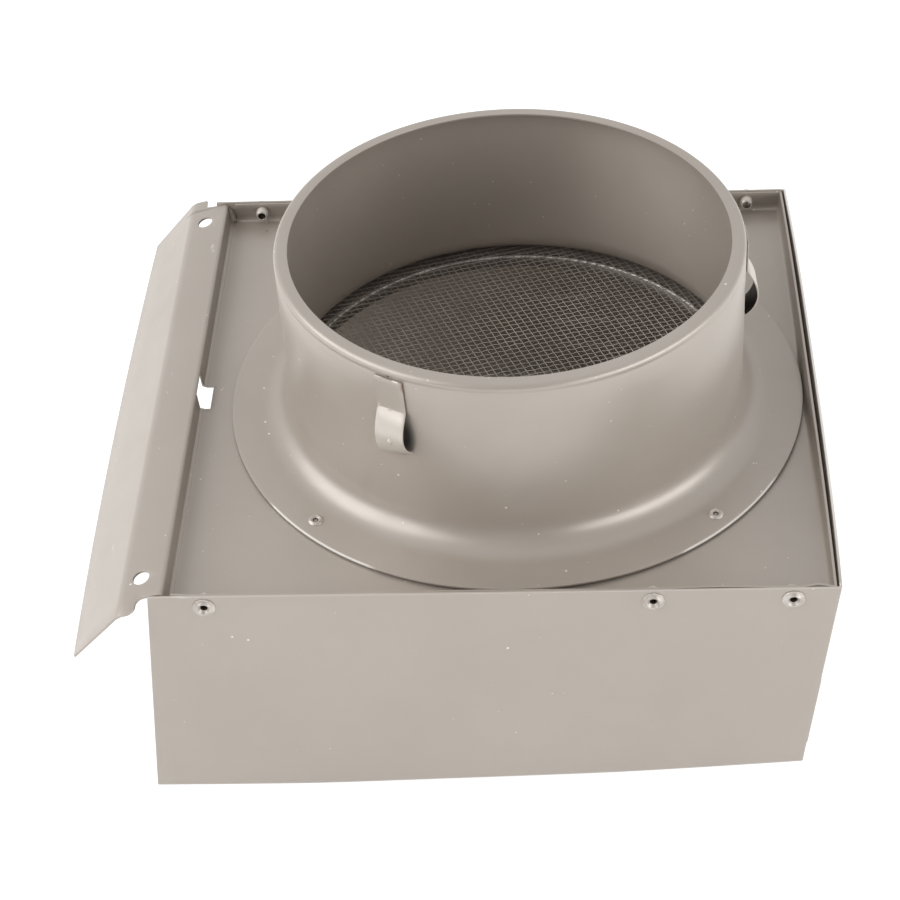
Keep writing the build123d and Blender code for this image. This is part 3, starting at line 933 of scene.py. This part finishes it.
# Blind rivets through the side walls: low heads outside, dished round the hole where the mandrel broke off,
# and upset tails that stand inside the pan. They are painted like the sheets and worn pale in patches.
rivet_bore = 0.95 * mm
tail_bore = rivet_bore * 1.4
grip = 1.5 * mm
tail = 3.2 * mm
tail_r = 2.1 * mm
head_r = 3.35 * mm
head_rise = 1.1 * mm
head_profile = [
    (rivet_bore, -0.6 * mm), (rivet_bore, 0.0), (rivet_bore + 0.12 * mm, 0.2 * mm), (1.5 * mm, 0.7 * mm),
    (1.85 * mm, head_rise * 0.97), (2.1 * mm, head_rise), (2.35 * mm, head_rise * 0.84),
    (2.6 * mm, head_rise * 0.5), (2.9 * mm, head_rise * 0.36), (head_r * 0.96, head_rise * 0.3),
    (head_r, head_rise * 0.16), (head_r * 0.97, 0.0),
]
tail_profile = [
    (tail_r * 0.8, 0.0), (tail_r * 0.8, -grip), (tail_r, -grip - 0.3 * mm),
    (tail_r * 1.02, -grip - tail * 0.5), (tail_r * 0.93, -grip - tail * 0.8), (tail_r * 0.8, -grip - tail),
    (tail_bore, -grip - tail), (tail_bore, -grip - tail * 0.6), (rivet_bore, -grip - tail * 0.5),
]


def placed(piece, place, direction):
    """A copy of a piece with its own mesh, its Z turned to a direction, at a place."""
    made = bpy.data.objects.new(piece.name, piece.data.copy())
    bpy.context.collection.objects.link(made)
    turn = Vector((0, 0, 1)).rotation_difference(Vector(direction)).to_matrix().to_4x4()
    made.data.transform(Matrix.Translation(place) @ turn)
    return made


rivet_coat = coated("rivet_coat")
rivet_tree = rivet_coat.node_tree
worn = ramp(rivet_tree, noise_at(rivet_tree, 450, 3), 0.3, 0.7)
marked(rivet_coat, worn, (0.66, 0.61, 0.56, 1.0))
# The bores take a near-black painted shade, with rust in patches.
bore_rust = (0.10, 0.06, 0.04, 1.0)
bore_shade_and_rust = patchy("rivet_bore_shade", soot_and_shade_black, bore_rust, per_metre=900, low=0.4, high=0.7, roughness=0.7)


def bored(rivet, bore, top):
    """Gives a rivet its coat, and the inside of its bore a near-black painted shade, patched with rust."""
    rivet.data.materials.append(rivet_coat)
    rivet.data.materials.append(bore_shade_and_rust)
    for face in rivet.data.polygons:
        face.material_index = 1 if hypot(face.center.x, face.center.y) < bore and face.center.z < top else 0


side_rivet = spun("side_rivet", head_profile + tail_profile, 40)
bored(side_rivet, rivet_bore * 1.42, 0.25 * mm)
soften(side_rivet, 0.05 * mm, 1, 50)
for side, row, places in ((-1, "front", rivet_places[:3]), (1, "back", rivet_places[3:])):
    rivets = joined([placed(side_rivet, place, (0, side, 0)) for place in places], f"{row}_rivets")
    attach(rivets, "cap")
    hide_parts(f"hood_rivets_{row}")
bpy.data.objects.remove(side_rivet)

# Mandrel ends: the steel stubs that stayed in the rivets' tails when they were pulled, bare and dull. The
# one at the back by the outlet has dropped out.
stub_r = tail_bore - 0.05 * mm
stub_top = -grip - tail * 0.65
stub_end = -grip - tail - 0.45 * mm
stub_middle = 0.01 * mm
stub_profile = [
    (stub_middle, stub_top), (stub_r, stub_top), (stub_r, stub_end + 0.5 * mm),
    (stub_r * 0.7, stub_end + 0.12 * mm), (stub_middle, stub_end),
]
stub = spun("mandrel_stub", stub_profile, 24)
soften(stub, 0.05 * mm, 1, 50)
stub_dark = (0.10, 0.085, 0.075, 1.0)
stub_light = (0.20, 0.18, 0.165, 1.0)
stub_metal = patchy("stub_metal", stub_dark, stub_light,
                    per_metre=900, low=0.4, high=0.6, roughness=0.5, metallic=0.8)
stub.data.materials.append(stub_metal)
stubs = [placed(stub, place, (0, -1, 0)) for place in rivet_places[:3]]
stubs += [placed(stub, place, (0, 1, 0)) for place in rivet_places[4:]]
mandrels = joined(stubs, "mandrel_stubs")
bpy.data.objects.remove(stub)
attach(mandrels, "cap")
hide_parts("rivet_mandrels")

# Small blind rivets through the spigot's flange, the screen and the plate, four round the flange, with flat
# dished heads and plain tails under the plate. They are painted like the others.
small_head_r = 2.4 * mm
small_rise = 0.75 * mm
small_bore = 0.6 * mm
small_grip = 2.1 * mm
small_tail = 3.2 * mm
small_profile = [
    (small_bore, small_rise * 0.3), (small_bore + 0.25 * mm, small_rise * 0.35),
    (small_head_r * 0.5, small_rise * 0.85), (small_head_r * 0.7, small_rise),
    (small_head_r * 0.9, small_rise * 0.6), (small_head_r, 0.05 * mm), (small_head_r * 0.95, 0.0),
    (1.15 * mm, 0.0), (1.15 * mm, -small_grip), (1.55 * mm, -small_grip - 0.2 * mm),
    (1.5 * mm, -small_grip - small_tail * 0.8), (1.2 * mm, -small_grip - small_tail),
    (small_bore * 1.3, -small_grip - small_tail), (small_bore, -small_grip - small_tail * 0.5),
]
small_rivet = spun("flange_rivet", small_profile, 32)
bored(small_rivet, small_bore * 1.35, small_rise * 0.4)
soften(small_rivet, 0.04 * mm, 1, 50)
rivet_circle = 85.5 * mm
around = [radians(45 + 90 * number) for number in range(4)]
small_places = [(rivet_circle * cos(turn), rivet_circle * sin(turn), flange_top) for turn in around]
flange_rivets = joined([placed(small_rivet, place, (0, 0, 1)) for place in small_places], "flange_rivets")
bpy.data.objects.remove(small_rivet)
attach(flange_rivets, "cap")
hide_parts("spigot_rivets")

# Floor: a plain white sweep. The camera and the glossy coat see it as white, with a soft shadow in it, and
# the rest of the light meets it as plain paper.
bpy.ops.mesh.primitive_plane_add(size=8, location=(0, 0, hood_low.z - 0.3 * mm))
floor = bpy.context.object
floor.name = "floor"
floor_paper = bpy.data.materials.new("white_paper")
floor_paper.use_nodes = True
paper_tree = floor_paper.node_tree
paper_out = paper_tree.nodes["Material Output"]
paper_tree.nodes.remove(paper_tree.nodes["Principled BSDF"])
paper_light = paper_tree.nodes.new("ShaderNodeEmission")
paper_light.inputs["Strength"].default_value = 0.85
paper_diffuse = paper_tree.nodes.new("ShaderNodeBsdfDiffuse")
paper_diffuse.inputs["Color"].default_value = (0.42, 0.42, 0.42, 1.0)
paper_plain = paper_tree.nodes.new("ShaderNodeBsdfDiffuse")
paper_plain.inputs["Color"].default_value = (0.80, 0.80, 0.79, 1.0)
paper_sum = paper_tree.nodes.new("ShaderNodeAddShader")
paper_seen = paper_tree.nodes.new("ShaderNodeMixShader")
paper_ray = paper_tree.nodes.new("ShaderNodeLightPath")
paper_tree.links.new(paper_light.outputs["Emission"], paper_sum.inputs[0])
paper_tree.links.new(paper_diffuse.outputs["BSDF"], paper_sum.inputs[1])
paper_either = paper_tree.nodes.new("ShaderNodeMath")
paper_either.operation = "MAXIMUM"
paper_tree.links.new(paper_ray.outputs["Is Camera Ray"], paper_either.inputs[0])
paper_tree.links.new(paper_ray.outputs["Is Glossy Ray"], paper_either.inputs[1])
paper_tree.links.new(paper_either.outputs["Value"], paper_seen.inputs["Fac"])
paper_tree.links.new(paper_plain.outputs["BSDF"], paper_seen.inputs[1])
paper_tree.links.new(paper_sum.outputs["Shader"], paper_seen.inputs[2])
paper_tree.links.new(paper_seen.outputs["Shader"], paper_out.inputs["Surface"])
floor.data.materials.append(floor_paper)

# Light: a white tent, darker towards the front, with a soft box at the outlet's side and a stronger, lower
# one at the right. The camera sees the tent as plain white.
world = bpy.data.worlds.new("white_tent")
bpy.context.scene.world = world
world.use_nodes = True
sky_tree = world.node_tree
sky = sky_tree.nodes["Background"]
sky.inputs["Color"].default_value = (1.0, 1.0, 1.0, 1.0)
seen_or_lit = sky_tree.nodes.new("ShaderNodeLightPath")
sky_mix = sky_tree.nodes.new("ShaderNodeMix")
sky_way = sky_tree.nodes.new("ShaderNodeTexCoord")
sky_parts = sky_tree.nodes.new("ShaderNodeSeparateXYZ")
sky_tree.links.new(sky_way.outputs["Generated"], sky_parts.inputs["Vector"])
sky_front = 0.30
sky_back = 0.77
sky_glow = ramp(sky_tree, sky_parts.outputs["Y"], -1.0, 0.2, sky_front, sky_back)
sky_tree.links.new(sky_glow, sky_mix.inputs["A"])
sky_mix.inputs["B"].default_value = 1.0
sky_tree.links.new(seen_or_lit.outputs["Is Camera Ray"], sky_mix.inputs["Factor"])
sky_tree.links.new(sky_mix.outputs["Result"], sky.inputs["Strength"])


def soft_box(name, azimuth, height_angle, distance, width, height, glow):
    """A rectangular lamp seen from the part at an azimuth and height in degrees, with an even glow."""
    level = cos(radians(height_angle))
    across = Vector((cos(radians(azimuth)), sin(radians(azimuth)), 0))
    away = across * level + Vector((0, 0, sin(radians(height_angle))))
    lamp = bpy.data.lights.new(name, "AREA")
    lamp.shape = "RECTANGLE"
    lamp.size = width
    lamp.size_y = height
    lamp.energy = glow * pi * width * height
    holder = bpy.data.objects.new(name, lamp)
    bpy.context.collection.objects.link(holder)
    holder.location = away * distance
    holder.rotation_euler = (-away).to_track_quat("-Z", "Y").to_euler()


soft_box("left_box", azimuth=-164, height_angle=32, distance=1.3, width=1.6, height=0.9, glow=2.5)
soft_box("right_box", azimuth=-30, height_angle=12, distance=1.3, width=1.5, height=0.5, glow=3.3)

# Camera: a long lens at the place the photograph was taken from, looking down and rolled a little. Its
# place and turn were worked out from the hood's corners and the spigot's rim.
camera_turn = 3.93
camera_down = 41.55
camera_roll = -3.62
camera_place = (16.19 * mm, -562.58 * mm, 467.70 * mm)
camera_lens = 91.33
camera_data = bpy.data.cameras.new("photo_camera")
camera_data.sensor_width = 36.0
camera_data.lens = camera_lens
camera_data.clip_start = 0.05
camera = bpy.data.objects.new("photo_camera", camera_data)
bpy.context.collection.objects.link(camera)
camera.location = camera_place
facing = Matrix.Rotation(radians(camera_turn), 3, "Z") @ Matrix.Rotation(radians(90 - camera_down), 3, "X")
camera.rotation_euler = (facing @ Matrix.Rotation(radians(camera_roll), 3, "Z")).to_euler()
bpy.context.scene.camera = camera
bpy.context.scene.view_settings.view_transform = "Standard"

bpy.context.view_layer.update()
